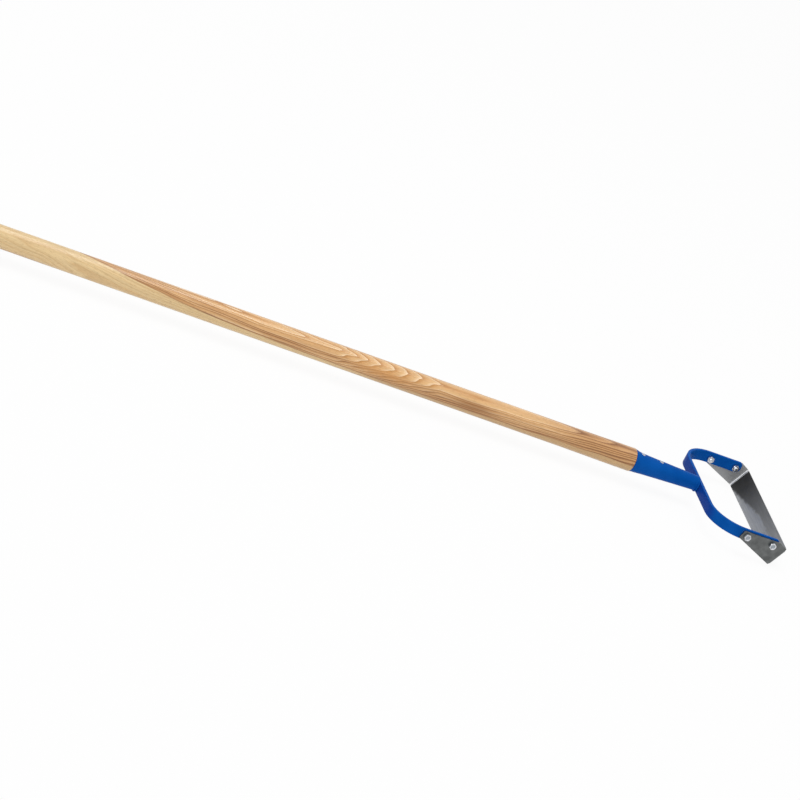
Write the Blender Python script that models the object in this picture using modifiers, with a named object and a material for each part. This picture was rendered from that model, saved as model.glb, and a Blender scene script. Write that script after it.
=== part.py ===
"""Scraper hoe: a long ash handle in a blue pressed-steel socket, a flat-bar stirrup welded across
the socket's nose, and a folded steel blade bolted to the two arms of the stirrup.

Everything hangs from one empty on the handle's axis at the socket's mouth. In that frame +X runs
along the handle towards the blade, +Y is to the left and +Z is up, and lengths are written in
millimetres and turned to metres by MM.
"""

import math

import bmesh
import bpy
from mathutils import Matrix, Vector

MM = 0.001
FIT_GAP = 0.3  # clearance between two pieces that touch on the real tool

# Handle
HANDLE_LENGTH = 1425.0  # butt to the shoulder at the socket's mouth
HANDLE_DIA = 28.0
SHOULDER_SWELL = 1.2  # how much thicker the pole gets before the socket
SWELL_LENGTH = 110.0
SHOULDER_ROUND = 0.8
BUTT_FLAT_DIA = 12.0  # where the lathe parted the domed butt
TENON_SHORT = 21.2  # the tenon stops this far short of the socket's nose
TENON_CHAMFER = 1.5

# Socket
SOCKET_LENGTH = 92.3  # mouth to the open nose that meets the back bar
SOCKET_NOSE_DIA = 18.4
SOCKET_DROP = 0.7  # the rolled cone lies this far below the handle's axis
DROP_REACH = 10.0  # and comes down to that over this length
MOUTH_STEP = 0.4  # the lip stands this far inside the handle's shoulder
MOUTH_FLARE = 1.25  # how far the mouth's lip stands out of the cone
FLARE_REACH = 7.0
SOCKET_WALL = 1.6
NOSE_ROUND = 0.8
SEAM_WIDTH = 1.4  # the rolled sheet's edges stop this far apart underneath
SEAM_LENGTH = 58.0

# Two countersunk screws through the top of the socket into the tenon
SCREW_STATIONS = (10.5, 37.1)
SCREW_HEAD_DIA = 5.2
SCREW_SINK = 0.1  # the flat head lies this far below the socket's surface
SCREW_RIM = 0.1  # straight side above the countersink
SCREW_SHANK_DIA = 3.0
SCREW_LENGTH = 14.0
SCREW_TAPER = 1.5  # length of the point

# Stirrup, one flat bar on edge
BAR_THICKNESS = 4.0
BAR_WIDTH = 14.5
BAR_CENTRE_Z = -2.1
LOOP_WIDTH = 195.7  # over the outer faces of the arms
CORNER_RADIUS = 38.6  # inner face
ARM_STRAIGHT = 46.4  # bend to the arm's end
ARM_END_ROUND = 6.0
BAR_EDGE_ROUND = 0.6

# Weld round the nose, where it meets the back bar
WELD_LEG = 2.0
WELD_OPEN = 116.0  # degrees left bare, where the nose stands above the bar's top edge
WELD_RIPPLES = 16
WELD_RIPPLE = 0.08  # share of the leg
WELD_END = 0.45  # the bead starts and stops with this share of its leg
WELD_UNDER = 0.35  # and loses this share underneath, along the bar's lower edge

# Blade, one strip folded twice
BLADE_THICKNESS = 2.0
BLADE_WIDTH = 29.6
BLADE_LEAN = 25.5  # degrees the blade leans forward of square to the handle
HEEL_SETBACK = 0.5  # lower rear edge of the blade, behind the arms' ends
HEEL_DROP = 26.7  # and below the middle of the bar
FOLD_RADIUS = 2.2  # inner face
GROUND_WIDTH = 3.2  # of the bevel along each cutting edge, on the front face
EDGE_THICKNESS = 0.5
EAR_EASE = 0.3  # chamfer round the ears
EAR_TAIL = 7.5  # behind the rear bolt
EAR_LOW = 5.5  # lower corner of the tail, below the bolts
EAR_TOP = 6.3  # above the bolts
EAR_TOP_ROUND = 4.5
EAR_LOW_ROUND = 1.6

# Bolts and nuts
REAR_BOLT = 2.7  # in front of the bend
FRONT_BOLT = 8.1  # behind the arm's end
BOLT_DROP = 0.8  # below the middle of the bar
BOLT_DIA = 5.0
HEAD_FLATS = 8.0
HEAD_HEIGHT = 3.6
HEAD_DISH_DIA = 4.6
HEAD_DISH_DEPTH = 0.6
NUT_HEIGHT = 4.0
BOLT_END = 1.8  # how far the thread stands out of the nut
BOLT_CHAMFER = 0.7
CORNER_CUT = 30.0  # degrees of the chamfer that rounds a hexagon's corners
CORNER_CUT_INSET = 0.1  # the chamfer starts this far inside the flats
BLANK_FACETS = 36

# Places that follow from the sizes above
shoulder_radius = (HANDLE_DIA + SHOULDER_SWELL) / 2
mouth_radius = shoulder_radius - MOUTH_STEP - MOUTH_FLARE  # of the plain cone, carried on to the mouth
tenon_length = SOCKET_LENGTH - TENON_SHORT
bar_low, bar_top = BAR_CENTRE_Z - BAR_WIDTH / 2, BAR_CENTRE_Z + BAR_WIDTH / 2
back_x = SOCKET_LENGTH + FIT_GAP
bend_x = back_x + BAR_THICKNESS + CORNER_RADIUS
arm_end_x = bend_x + ARM_STRAIGHT
bolt_xs = (bend_x + REAR_BOLT, arm_end_x - FRONT_BOLT)
bolt_z = BAR_CENTRE_Z - BOLT_DROP
arm_y = LOOP_WIDTH / 2
ear_y = arm_y + FIT_GAP

SIDES = {"left": 1, "right": -1}
TURN_TO_X = Matrix.Rotation(math.pi / 2, 4, "Y")
TURN_TO_Y = Matrix.Rotation(-math.pi / 2, 4, "X")


def clear_scene():
    for obj in list(bpy.data.objects):
        bpy.data.objects.remove(obj, do_unlink=True)


def collection(name):
    made = bpy.data.collections.new(name)
    bpy.context.scene.collection.children.link(made)
    return made


def material(name, colour, roughness, metallic=0.0):
    made = bpy.data.materials.new(name)
    made.use_nodes = True
    shader = made.node_tree.nodes["Principled BSDF"]
    shader.inputs["Base Color"].default_value = (*colour, 1.0)
    shader.inputs["Roughness"].default_value = roughness
    shader.inputs["Metallic"].default_value = metallic
    return made


def add_object(name, mesh, group, surface=None):
    """An object under the datum empty, with its material."""
    obj = bpy.data.objects.new(name, mesh)
    group.objects.link(obj)
    obj.parent = datum
    if surface:
        mesh.materials.append(surface)
    return obj


def mesh_of(name, shape):
    mesh = bpy.data.meshes.new(name)
    shape.to_mesh(mesh)
    shape.free()
    return mesh


def place(x, y, z, turn=Matrix.Identity(4)):
    return Matrix.Translation(Vector((x, y, z)) * MM) @ turn


def arc(centre, radius, start, stop, steps):
    """Points along a circle, from start to stop in degrees."""
    turn = [math.radians(start + (stop - start) * i / steps) for i in range(steps + 1)]
    return [(centre[0] + radius * math.cos(a), centre[1] + radius * math.sin(a)) for a in turn]


def turned(name, profile, steps, hollow=False):
    """A mesh made by turning (radius, height) points about Z, from the top down the outer side. A
    hollow profile doesn't touch the axis and closes on itself."""
    shape = bmesh.new()
    verts = [shape.verts.new((r * MM, 0, h * MM)) for r, h in profile]
    for first, second in zip(verts, verts[1:] + verts[:1] if hollow else verts[1:]):
        shape.edges.new((first, second))
    obj = bpy.data.objects.new(name + "_profile", mesh_of(name + "_profile", shape))
    bpy.context.scene.collection.objects.link(obj)
    screw = obj.modifiers.new("turn", "SCREW")
    screw.steps = screw.render_steps = steps
    screw.use_merge_vertices = True
    screw.merge_threshold = 0.00001
    screw.use_smooth_shade = True
    graph = bpy.context.evaluated_depsgraph_get()
    mesh = bpy.data.meshes.new_from_object(obj.evaluated_get(graph))
    bpy.data.objects.remove(obj, do_unlink=True)
    mesh.name = name
    return mesh


def lofted(name, sections):
    """A closed mesh through rings of equally many points, with a face over each end."""
    shape = bmesh.new()
    rings = [[shape.verts.new(Vector(p) * MM) for p in ring] for ring in sections]
    count = len(rings[0])
    for ring, following in zip(rings, rings[1:]):
        for i in range(count):
            j = (i + 1) % count
            shape.faces.new((ring[i], ring[j], following[j], following[i]))
    shape.faces.new(reversed(rings[0]))
    shape.faces.new(rings[-1])
    bmesh.ops.recalc_face_normals(shape, faces=shape.faces)
    return mesh_of(name, shape)


def both_sides(half):
    """Rings from the right arm's end to the left one's, from those of the left half."""
    return [[(x, -y, z) for x, y, z in ring] for ring in reversed(half[1:])] + half


def cylinder(name, radius, depth, matrix, segments=24):
    shape = bmesh.new()
    bmesh.ops.create_cone(
        shape, cap_ends=True, segments=segments, radius1=radius * MM, radius2=radius * MM,
        depth=depth * MM, matrix=matrix,
    )
    return mesh_of(name, shape)


def box(name, low, high):
    shape = bmesh.new()
    bmesh.ops.create_cube(shape, size=1.0)
    for vert in shape.verts:
        vert.co = Vector([(a if c < 0 else b) * MM for a, b, c in zip(low, high, vert.co)])
    return mesh_of(name, shape)


def boolean(obj, other, operation="DIFFERENCE"):
    made = obj.modifiers.new(other.name, "BOOLEAN")
    made.operation = operation
    made.object = other
    made.solver = "EXACT"


def cut(obj, name, mesh):
    """Cut a mesh out of an object, with a cutter that stays in the file, hidden from renders."""
    tool = add_object(name, mesh, cutters)
    tool.hide_render = True
    tool.display_type = "WIRE"
    boolean(obj, tool)


def smooth(mesh, angle=35.0):
    mesh.shade_smooth()
    mesh.set_sharp_from_angle(angle=math.radians(angle))


# Socket

def cone_radius(x):
    """Outer radius of the socket: a plain cone with a lip that flares out at the mouth."""
    cone = mouth_radius + (SOCKET_NOSE_DIA / 2 - mouth_radius) * x / SOCKET_LENGTH
    return cone + MOUTH_FLARE * math.exp(-x / FLARE_REACH)


def bore_radius(x):
    return cone_radius(x) - SOCKET_WALL


def from_mouth(length, count):
    """Stations from the mouth, closer together where the cone flares."""
    return [length * (i / count) ** 1.4 for i in range(count + 1)]


def axis_height(x):
    """Height of the socket's own axis, which leaves the handle's axis at the mouth."""
    share = min(max(x / DROP_REACH, 0), 1)
    return -SOCKET_DROP * share * share * (3 - 2 * share)


def turned_along_x(name, profile, hollow=False):
    """A turned mesh laid along the handle's axis, and inside the socket along the socket's own."""
    mesh = turned(name, profile, 48, hollow)
    mesh.transform(TURN_TO_X)
    for vert in mesh.vertices:
        vert.co.z += axis_height(vert.co.x / MM) * MM
    return mesh


def screw_seat(x):
    """Height of a screw's flat head, whose rim lies just under the socket's curved top."""
    flush = math.sqrt(cone_radius(x) ** 2 - (SCREW_HEAD_DIA / 2) ** 2)
    return axis_height(x) + flush - SCREW_SINK


def cut_screw_holes(obj, name, countersink):
    """Clearance holes for the two screws, with a countersink in the socket's wall."""
    hole = SCREW_SHANK_DIA / 2 + FIT_GAP
    rim = SCREW_HEAD_DIA / 2 + FIT_GAP * math.sqrt(2) if countersink else hole
    top, bottom = 2 * SOCKET_WALL, -SCREW_LENGTH - FIT_GAP
    cone = [(rim, -SCREW_RIM), (hole, hole - rim - SCREW_RIM)] if countersink else []
    profile = [(0, top), (rim, top), *cone, (hole, bottom), (0, bottom)]
    for number, x in enumerate(SCREW_STATIONS, 1):
        tool = turned("hole", profile, 20)
        tool.transform(place(x, 0, screw_seat(x)))
        cut(obj, f"{name}_{number}", tool)


def make_socket():
    nose_x = SOCKET_LENGTH - NOSE_ROUND
    nose = arc((cone_radius(nose_x) - NOSE_ROUND, nose_x), NOSE_ROUND, 90, 0, 3)
    outer = [(cone_radius(x), x) for x in from_mouth(nose_x, 18)[:-1]]
    inner = [(bore_radius(x), x) for x in from_mouth(SOCKET_LENGTH, 18)]
    mesh = turned_along_x("socket", [*nose, *reversed(outer), *inner], hollow=True)
    socket = add_object("socket", mesh, pieces, blue_paint)
    half = SEAM_WIDTH / 2
    slit = box("slit", (-SOCKET_WALL, -half, -HANDLE_DIA), (SEAM_LENGTH, half, -SOCKET_WALL))
    cut(socket, "socket_seam", slit)
    cut_screw_holes(socket, "socket_screw_hole", True)
    smooth(socket.data)


# Handle

def make_handle():
    shoulder = -FIT_GAP
    butt = -HANDLE_LENGTH
    radius = HANDLE_DIA / 2
    rise = SHOULDER_SWELL / 2
    tip = bore_radius(tenon_length) - FIT_GAP - TENON_CHAMFER
    straight = from_mouth(tenon_length - TENON_CHAMFER, 15)
    tenon = [(bore_radius(x) - FIT_GAP, x) for x in reversed(straight)]
    neck = bore_radius(0) - FIT_GAP
    rim = (shoulder_radius - SHOULDER_ROUND, shoulder - SHOULDER_ROUND)
    swell = [
        (radius + rise * (0.5 + 0.5 * math.cos(math.pi * i / 6)), shoulder - SWELL_LENGTH * i / 6)
        for i in range(1, 7)
    ]
    flat = BUTT_FLAT_DIA / 2
    dome = arc((flat, butt + radius - flat), radius - flat, 0, -90, 8)
    mesh = turned_along_x("handle", [
        (0, tenon_length), (tip, tenon_length), *tenon, (neck, shoulder),
        *arc(rim, SHOULDER_ROUND, 90, 0, 3), *swell, *dome, (0, butt),
    ])
    handle = add_object("handle", mesh, pieces, ash)
    cut_screw_holes(handle, "tenon_screw_hole", False)
    smooth(handle.data)


def make_screws():
    head, shank = SCREW_HEAD_DIA / 2, SCREW_SHANK_DIA / 2
    profile = [
        (0, 0), (head, 0), (head, -SCREW_RIM), (shank, shank - head - SCREW_RIM),
        (shank, SCREW_TAPER - SCREW_LENGTH), (0, -SCREW_LENGTH),
    ]
    for number, x in enumerate(SCREW_STATIONS, 1):
        mesh = turned("socket_screw", profile, 24)
        smooth(mesh)
        screw = add_object(f"socket_screw_{number}", mesh, pieces, zinc)
        screw.location = Vector((x, 0, screw_seat(x))) * MM


# Stirrup

def bar_path():
    """Stations along the bar: (point on the outer face, outward normal), for y >= 0."""
    outer = CORNER_RADIUS + BAR_THICKNESS
    centre = (bend_x, arm_y - outer)
    back = [((back_x, y), (-1.0, 0.0)) for y in (0.0, centre[1] / 2)]
    corner = list(zip(arc(centre, outer, 180, 90, 12), arc((0, 0), 1.0, 180, 90, 12)))
    return [*back, *corner]


def bar_section(point, normal, low=bar_low, high=bar_top):
    """Four corners of the bar: outer and inner face, from low to high."""
    (x, y), (nx, ny) = point, normal
    ix, iy = x - nx * BAR_THICKNESS, y - ny * BAR_THICKNESS
    return [(x, y, low), (x, y, high), (ix, iy, high), (ix, iy, low)]


def cut_bolt_holes(obj, name, depth):
    """The four clearance holes across both arms."""
    for side, sign in SIDES.items():
        for number, x in enumerate(bolt_xs, 1):
            spot = place(x, sign * arm_y, bolt_z, TURN_TO_Y)
            hole = cylinder("hole", BOLT_DIA / 2 + FIT_GAP, 2 * depth, spot)
            cut(obj, f"{name}_{side}_{number}", hole)


def make_stirrup():
    half = [bar_section(point, normal) for point, normal in bar_path()]
    for dx, dz in arc((-ARM_END_ROUND, -ARM_END_ROUND), ARM_END_ROUND, 90, 0, 6):
        end = (arm_end_x + dx, arm_y)
        half.append(bar_section(end, (0.0, 1.0), bar_low - dz, bar_top + dz))
    stirrup = add_object("stirrup", lofted("stirrup", both_sides(half)), pieces, blue_paint)
    cut_bolt_holes(stirrup, "stirrup_hole", 2 * BAR_THICKNESS)
    edges = stirrup.modifiers.new("eased edges", "BEVEL")
    edges.width = BAR_EDGE_ROUND * MM
    edges.segments = 2
    edges.limit_method = "ANGLE"
    edges.angle_limit = math.radians(60)
    smooth(stirrup.data, 30)


def make_weld():
    """A rippled fillet laid round the nose, open where the nose stands above the bar."""
    root = cone_radius(SOCKET_LENGTH - WELD_LEG * (1 + WELD_RIPPLE)) + FIT_GAP
    face = back_x - FIT_GAP
    start, stop = 90 + WELD_OPEN / 2 - 360, 90 - WELD_OPEN / 2
    turn = arc((0, 0), 1.0, start, stop, 2 * WELD_RIPPLES)
    sections = []
    for i, (y, z) in enumerate(turn):
        leg = WELD_LEG * (1 + WELD_RIPPLE * (-1) ** i) * (1 - WELD_UNDER * max(-z, 0) ** 4)
        if (y, z) in (turn[0], turn[-1]):
            leg *= WELD_END
        bead = [(face, 0.0), (face, leg), (face - leg / 2, leg * 0.7), (face - leg, 0.0)]
        ring = [(x, y * (root + r), axis_height(x) + z * (root + r)) for x, r in bead]
        sections.append(ring)
    add_object("weld_bead", lofted("weld_bead", sections), pieces, blue_paint)


# Blade

def blade_point(depth, across, y):
    """A point of the blade: depth in front of its rear face, across up from its lower edge."""
    lean = math.radians(BLADE_LEAN)
    x = arm_end_x - HEEL_SETBACK + across * math.sin(lean) + depth * math.cos(lean)
    z = BAR_CENTRE_Z - HEEL_DROP + across * math.cos(lean) - depth * math.sin(lean)
    return Vector((x, y, z))


def strip_ring(low, high, outward, share):
    """A ring round the strip, from its inner face's low and high edge. Share is 1 on the blade,
    whose outer face is ground to its two edges, and 0 on the ears, which are only eased."""
    up = (high - low).normalized()
    inset = up * (EAR_EASE + (GROUND_WIDTH - EAR_EASE) * share)
    outer = outward * BLADE_THICKNESS
    eased = BLADE_THICKNESS - EAR_EASE
    edge = outward * (eased + (EDGE_THICKNESS - eased) * share)
    return [low, high, high + edge, high + outer - inset, low + outer + inset, low + edge]


def fold_rings():
    """From the middle of the blade out to the fold and round it."""
    forward = blade_point(1, 0, 0) - blade_point(0, 0, 0)
    rings = []
    for y in (0.0, ear_y / 2, ear_y - 2 * FOLD_RADIUS):
        rings.append(strip_ring(blade_point(0, 0, y), blade_point(0, BLADE_WIDTH, y), forward, 1))
    centre = (-FOLD_RADIUS, ear_y - FOLD_RADIUS)
    turn = zip(arc(centre, FOLD_RADIUS, 0, 90, 6), arc((0, 0), 1.0, 0, 90, 6))
    for (depth, y), (ahead, aside) in turn:
        low, high = blade_point(depth, 0, y), blade_point(depth, BLADE_WIDTH, y)
        rings.append(strip_ring(low, high, forward * ahead + Vector((0, aside, 0)), ahead))
    return rings


def ear_rings():
    """From the fold back to the ear's tail. The lower edge is straight, and the top edge leaves the
    strip's own edge to run level with the bar. Both corners of the tail are round."""
    fold_low, fold_high = (blade_point(-FOLD_RADIUS, across, ear_y) for across in (0, BLADE_WIDTH))
    tail_x = bolt_xs[0] - EAR_TAIL
    top_z = max(bolt_z + EAR_TOP, fold_high.z + EAR_EASE)
    slope = math.tan(math.radians(BLADE_LEAN))
    crest = Vector((fold_high.x - (top_z - fold_high.z) / slope, ear_y, top_z))
    low_centre = (tail_x + EAR_LOW_ROUND, bolt_z - EAR_LOW + EAR_LOW_ROUND)
    high_centre = (tail_x + EAR_TOP_ROUND, top_z - EAR_TOP_ROUND)
    lows = [Vector((x, ear_y, z)) for x, z in arc(low_centre, EAR_LOW_ROUND, 250, 180, 5)]
    highs = [Vector((x, ear_y, z)) for x, z in arc(high_centre, EAR_TOP_ROUND, 90, 180, 5)]
    lower_edge = [fold_low.lerp(lows[0], i / 6) for i in range(1, 7)]
    upper_edge = [fold_high.lerp(crest, 0.5), *(crest.lerp(highs[0], i / 4) for i in range(5))]
    pairs = zip([*lower_edge, *lows[1:]], [*upper_edge, *highs[1:]])
    return [strip_ring(low, high, Vector((0, 1, 0)), 0) for low, high in pairs]


def make_blade():
    half = [*fold_rings(), *ear_rings()]
    blade = add_object("blade", lofted("blade", both_sides(half)), pieces, steel)
    cut_bolt_holes(blade, "blade_hole", 2 * BLADE_THICKNESS)
    smooth(blade.data, 20)


# Bolts and nuts, built along +Z with the joint face at z = 0

def hexagon(name, height):
    return cylinder(name, HEAD_FLATS / math.sqrt(3), height, place(0, 0, height / 2), 6)


def corner_blank(height, both_ends):
    """The turned blank that rounds a hexagon's corners off at its outer end or at both. It is turned
    by half a facet, which keeps its facets' edges off the corners."""
    wide, face = HEAD_FLATS / math.sqrt(3) + 2 * CORNER_CUT_INSET, HEAD_FLATS / 2 - CORNER_CUT_INSET
    drop = (wide - face) * math.tan(math.radians(CORNER_CUT))
    foot = [(wide, drop), (face, 0), (0, 0)] if both_ends else [(wide, 0), (0, 0)]
    mesh = turned("blank", [(0, height), (face, height), (wide, height - drop), *foot], BLANK_FACETS)
    mesh.transform(Matrix.Rotation(math.pi / BLANK_FACETS, 4, "Z"))
    return mesh


def joined(name, start, steps):
    """The mesh that a chain of Boolean steps makes of the start mesh."""
    obj = bpy.data.objects.new(name, start)
    bpy.context.scene.collection.objects.link(obj)
    helpers = []
    for operation, mesh in steps:
        helper = bpy.data.objects.new(name + "_step", mesh)
        bpy.context.scene.collection.objects.link(helper)
        boolean(obj, helper, operation)
        helpers.append(helper)
    graph = bpy.context.evaluated_depsgraph_get()
    mesh = bpy.data.meshes.new_from_object(obj.evaluated_get(graph))
    for used in [obj, *helpers]:
        bpy.data.objects.remove(used, do_unlink=True)
    mesh.name = name
    smooth(mesh, 25)
    return mesh


def bolt_mesh():
    """A hexagon-headed bolt: the head stands on z = 0 and the shank hangs below it."""
    grip = FIT_GAP + BLADE_THICKNESS + FIT_GAP + BAR_THICKNESS + FIT_GAP + NUT_HEIGHT + BOLT_END
    radius = BOLT_DIA / 2
    root = HEAD_HEIGHT / 3
    shank = turned("shank", [
        (0, root), (radius, root), (radius, BOLT_CHAMFER - grip), (radius - BOLT_CHAMFER, -grip),
        (0, -grip),
    ], 24)
    dish = cylinder("dish", HEAD_DISH_DIA / 2, 2 * HEAD_DISH_DEPTH, place(0, 0, HEAD_HEIGHT), 20)
    return joined("bolt", hexagon("head", HEAD_HEIGHT), [
        ("INTERSECT", corner_blank(HEAD_HEIGHT, False)),
        ("DIFFERENCE", dish),
        ("UNION", shank),
    ])


def nut_mesh():
    """A hexagon nut standing on z = 0 with a clear bore."""
    bore = cylinder("bore", BOLT_DIA / 2 + FIT_GAP, 3 * NUT_HEIGHT, place(0, 0, NUT_HEIGHT / 2))
    return joined("nut", hexagon("nut", NUT_HEIGHT), [
        ("INTERSECT", corner_blank(NUT_HEIGHT, True)),
        ("DIFFERENCE", bore),
    ])


def make_fasteners():
    """A bolt from outside each ear and a nut inside each arm, at every station."""
    head_y = ear_y + BLADE_THICKNESS + FIT_GAP
    nut_y = arm_y - BAR_THICKNESS - FIT_GAP
    kinds = (("bolt", bolt_mesh(), head_y, -1), ("nut", nut_mesh(), nut_y, 1))
    for side, sign in SIDES.items():
        for number, x in enumerate(bolt_xs, 1):
            for kind, mesh, y, facing in kinds:
                made = add_object(f"{kind}_{side}_{number}", mesh.copy(), pieces, zinc)
                made.location = Vector((x, sign * y, bolt_z)) * MM
                made.rotation_euler = (sign * facing * math.pi / 2, 0, 0)


clear_scene()
pieces = collection("scraper_hoe")
cutters = collection("cutters")

# The origin lies on the floor under the middle of the tool's length
foremost = max(point.x for ring in fold_rings() for point in ring)
floor = min(point.z for ring in fold_rings() for point in ring)
datum = bpy.data.objects.new("socket_mouth", None)
pieces.objects.link(datum)
datum.location = Vector(((HANDLE_LENGTH - foremost) / 2, 0, -floor)) * MM

ash = material("lacquered_ash", (0.55, 0.34, 0.16), 0.35)
blue_paint = material("blue_enamel", (0.004, 0.08, 0.38), 0.35)
steel = material("blade_steel", (0.32, 0.33, 0.33), 0.32, 1.0)
zinc = material("zinc_plate", (0.72, 0.73, 0.75), 0.25, 1.0)

make_handle()
make_socket()
make_screws()
make_stirrup()
make_weld()
make_blade()
make_fasteners()
bpy.context.view_layer.update()
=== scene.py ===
"""A long-handled scraper hoe in its finished look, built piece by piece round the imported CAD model.

The world frame is the model's own, in metres: +X runs along the handle from its butt to the blade,
+Y is to the left, +Z is up, and the floor is z = 0. Sizes are written in millimetres.
"""

import math

import bmesh
import bpy
from mathutils import Matrix, Vector


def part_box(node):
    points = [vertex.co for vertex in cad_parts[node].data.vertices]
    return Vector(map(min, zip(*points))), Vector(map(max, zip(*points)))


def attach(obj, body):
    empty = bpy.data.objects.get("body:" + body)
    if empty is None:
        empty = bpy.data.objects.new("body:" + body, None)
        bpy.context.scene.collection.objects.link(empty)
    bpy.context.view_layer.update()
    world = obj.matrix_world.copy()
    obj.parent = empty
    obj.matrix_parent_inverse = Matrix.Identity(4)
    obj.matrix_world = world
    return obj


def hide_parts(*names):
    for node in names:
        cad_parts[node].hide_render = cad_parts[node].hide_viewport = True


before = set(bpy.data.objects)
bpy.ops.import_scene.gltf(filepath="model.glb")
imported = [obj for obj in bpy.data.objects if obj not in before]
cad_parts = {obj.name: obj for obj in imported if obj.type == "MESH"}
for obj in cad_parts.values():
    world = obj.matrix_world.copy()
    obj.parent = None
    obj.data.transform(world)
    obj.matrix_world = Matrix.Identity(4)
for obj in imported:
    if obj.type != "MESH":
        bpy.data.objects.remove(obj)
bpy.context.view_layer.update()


# Handle
# One ash pole, turned and sanded, with a round shoulder that butts against the socket's mouth and a
# tapered tenon inside it. It is coated with clear lacquer, so the grain shows under a soft gloss.

MM = 0.001
MOUTH_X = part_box("socket")[0].x  # the socket's mouth, from which lengths along the tool are counted
AXIS_Z = (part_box("handle")[0].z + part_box("handle")[1].z) / 2
BUTT = (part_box("handle")[0].x - MOUTH_X) / MM
FIT_GAP = 0.3

POLE_RADIUS = 14.0
SHOULDER_RADIUS = 14.6
SWELL_LENGTH = 110.0  # the pole grows to the shoulder over this length
SHOULDER_ROUND = 0.8
BUTT_ROUND = 8.0
NECK_RADIUS = 12.3  # of the tenon at the shoulder
NECK_TAPER = 0.055  # of its radius, for each millimetre further in
TENON_TIP_RADIUS = 8.15
TENON_LENGTH = 71.1
TENON_CHAMFER = 1.5
SOCKET_DROP = 0.7  # the socket's axis lies this far below the handle's
DROP_REACH = 10.0  # and comes down to that over this length


def turned(name, rings, sides):
    """A piece as from a lathe: a filled circle, drawn up and scaled through (height, radius) rings
    in millimetres along +Z."""
    (height, radius), *rest = rings
    bpy.ops.object.select_all(action="DESELECT")
    bpy.ops.mesh.primitive_circle_add(
        vertices=sides, radius=radius * MM, fill_type="NGON", location=(0, 0, height * MM)
    )
    piece = bpy.context.object
    piece.name = name
    bpy.ops.object.transform_apply(location=True, rotation=True, scale=True)
    bpy.ops.object.mode_set(mode="EDIT")
    for next_height, next_radius in rest:
        rise = (0, 0, (next_height - height) * MM)
        bpy.ops.mesh.extrude_region_move(TRANSFORM_OT_translate={"value": rise})
        scale = next_radius / radius
        centre = (0, 0, next_height * MM)
        bpy.ops.transform.resize(value=(scale, scale, scale), center_override=centre)
        height, radius = next_height, next_radius
    bpy.ops.mesh.select_all(action="SELECT")
    bpy.ops.mesh.normals_make_consistent(inside=False)
    bpy.ops.object.mode_set(mode="OBJECT")
    return piece


def take(piece):
    """Make a piece the only one that operators act on."""
    bpy.ops.object.select_all(action="DESELECT")
    piece.select_set(True)
    bpy.context.view_layer.objects.active = piece


def put(piece, place, turn=(0, 0, 0)):
    """Turn a piece, move it to its place and keep both in its mesh. The place is in millimetres
    from the middle of the socket's mouth."""
    take(piece)
    piece.rotation_euler = turn
    piece.location = Vector((MOUTH_X, 0, AXIS_Z)) + Vector(place) * MM
    bpy.ops.object.transform_apply(location=True, rotation=True, scale=True)


def round_corner(centre, radius, start, stop, steps):
    """(height, radius) rings along a rounded corner, from start to stop in degrees."""
    turns = [math.radians(start + (stop - start) * i / steps) for i in range(steps + 1)]
    return [(centre[0] + radius * math.sin(a), centre[1] + radius * math.cos(a)) for a in turns]


def bring_down(piece):
    """Lower what lies past the mouth onto the socket's own axis."""
    for vert in piece.data.vertices:
        share = min(max((vert.co.x - MOUTH_X) / MM / DROP_REACH, 0), 1)
        vert.co.z -= SOCKET_DROP * share * share * (3 - 2 * share) * MM


def finish(piece, material, slot, *nodes, smooth=30.0):
    """Paint a piece, smooth it up to an angle, and let it stand for its CAD nodes."""
    take(piece)
    bpy.ops.object.shade_smooth_by_angle(angle=math.radians(smooth))
    piece.data.materials.clear()
    piece.data.materials.append(material)
    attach(piece, "root")
    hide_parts(*nodes)


def linear(hex_colour):
    """The linear RGBA colour of an sRGB hex value."""
    channels = [int(hex_colour[i:i + 2], 16) / 255 for i in (1, 3, 5)]
    return tuple(c / 12.92 if c <= 0.04045 else ((c + 0.055) / 1.055) ** 2.4 for c in channels) + (1.0,)


def add_node(tree, kind, inputs=None, stops=(), **settings):
    """A shader node with its settings. An input is set to a value, or linked to a socket or to a
    node's first output in use. Stops are the (position, hex colour) points of a ramp."""
    made = tree.nodes.new("ShaderNode" + kind)
    for name, value in settings.items():
        setattr(made, name, value)
    for place, value in (inputs or {}).items():
        if isinstance(value, bpy.types.Node):
            value = next(output for output in value.outputs if output.enabled)
        if isinstance(value, bpy.types.NodeSocket):
            tree.links.new(value, made.inputs[place])
        else:
            made.inputs[place].default_value = value
    while stops and len(made.color_ramp.elements) < len(stops):
        made.color_ramp.elements.new(0.5)
    for element, (position, colour) in zip(made.color_ramp.elements if stops else (), stops):
        element.position, element.color = position, linear(colour)
    return made


# Lacquered ash: ring-porous hardwood. Each year's growth starts with a line of open pores, which is
# the dark line on the turned surface. The heartwood is browner than the sapwood, and the lacquer
# warms both and gives a broad, soft gloss.
RING_WIDTH = 1.7  # mm of growth a year
PITH = (0.0, 2.5, 7.6)  # the tree's middle, in mm from the pole's axis
HEART_RADIUS = 15.5  # of the heartwood, round the pith
SPIRAL_START = -800.0  # where the grain starts to come round, in mm from the mouth
SPIRAL_TURN = math.radians(120)  # how far round it still is at the next place
SPIRAL_PLACE = -751.0
SPIRAL_REACH = 133.0  # mm in which that falls to about a third
SWING = (math.radians(-56), math.radians(-33))  # from 400 mm behind the mouth, and at it
LOOPS = (-415.0, -275.0)  # where the rings run out of the pole's upper side
LOOP_CLIMB = 12.0  # mm that they run out
BEND_LENGTH, BEND_WIDTH, BEND_SIZE = 160.0, 30.0, 4.0
WAVE_LENGTH, WAVE_WIDTH, WAVE_SIZE = 42.0, 6.0, 1.6
GRAIN_SLOPE = 0.012  # mm of growth, for each mm along
GOOD_YEARS_PACE, GOOD_YEARS_SIZE = 0.3, 2.2
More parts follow.
